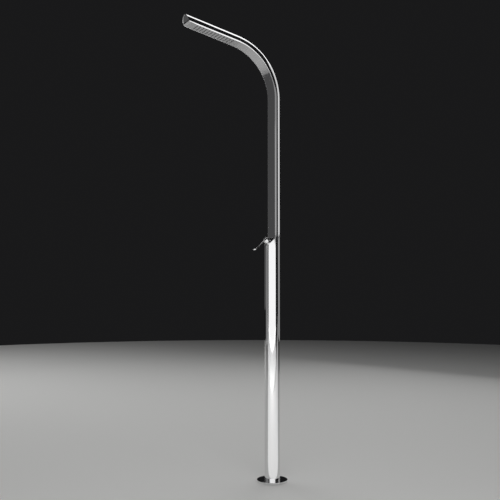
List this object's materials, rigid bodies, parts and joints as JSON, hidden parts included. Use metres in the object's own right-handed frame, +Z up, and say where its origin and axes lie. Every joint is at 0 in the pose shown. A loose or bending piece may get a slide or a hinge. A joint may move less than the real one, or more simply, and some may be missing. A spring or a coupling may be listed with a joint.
{
  "type": "outdoor shower column",
  "caption": "Slim polished steel outdoor shower: a round column cut flat above its lever mixer and bent forward into an arm with a spray face under it.",
  "frame": {"origin": "on the column's axis, on the floor face under the base gasket", "axes": "+Z up along the column, -Y forward along the arm, X to the side"},
  "size_m": [0.152, 0.5513, 2.2652],
  "materials": {
    "polished_steel": "mirror polished stainless steel",
    "satin_steel": "fine satin stainless steel",
    "plain_steel": "machined stainless steel",
    "rubber": "matt black EPDM",
    "silicone": "dark silicone",
    "brass": "machined brass",
    "steel_braid": "braided wire sleeve",
    "cartridge_plastic": "moulded acetal"
  },
  "bodies": {
    "column": {"column_tube": "polished_steel", "front_plate": "satin_steel", "valve_plate": "polished_steel", "spray_plate": "satin_steel", "tip_cap": "polished_steel", "nozzle_mat": "silicone", "spray_chamber": "plain_steel", "chamber_screw_1": "plain_steel", "chamber_screw_2": "plain_steel", "chamber_screw_3": "plain_steel", "chamber_screw_4": "plain_steel", "mixer_body": "brass", "mixer_seal": "rubber", "cartridge": "cartridge_plastic", "cartridge_nut": "brass", "mixer_collar": "polished_steel", "outlet_hose": "steel_braid", "outlet_nut_mixer": "brass", "outlet_nut_arm": "brass", "base_gasket": "rubber", "floor_plate": "plain_steel", "floor_rosette": "polished_steel", "rosette_seal": "rubber", "anchor_screw_1": "plain_steel", "anchor_screw_2": "plain_steel", "anchor_screw_3": "plain_steel", "anchor_screw_4": "plain_steel", "foot_screw_1": "plain_steel", "foot_screw_2": "plain_steel", "cold_supply_nipple": "brass", "cold_foot_nut": "brass", "cold_hose": "steel_braid", "cold_inlet_nut": "brass", "hot_supply_nipple": "brass", "hot_foot_nut": "brass", "hot_hose": "steel_braid", "hot_inlet_nut": "brass"},
    "swivel": {"stem_carrier": "cartridge_plastic", "stem_pin": "plain_steel"},
    "lever": {"cartridge_stem": "brass", "lever_hub": "polished_steel", "lever_handle": "polished_steel", "lever_screw": "plain_steel"}
  },
  "joints": [
    {"name": "temperature_turn", "type": "hinge", "parent": "column", "child": "swivel", "pos_m": [0, -0.022, 1.18147], "axis": [0, -0.7547, 0.6561], "range_deg": [-45, 45]},
    {"name": "flow_lift", "type": "hinge", "parent": "swivel", "child": "lever", "pos_m": [0, -0.02691, 1.18574], "axis": [-1, 0, 0], "range_deg": [0, 24]}
  ]
}
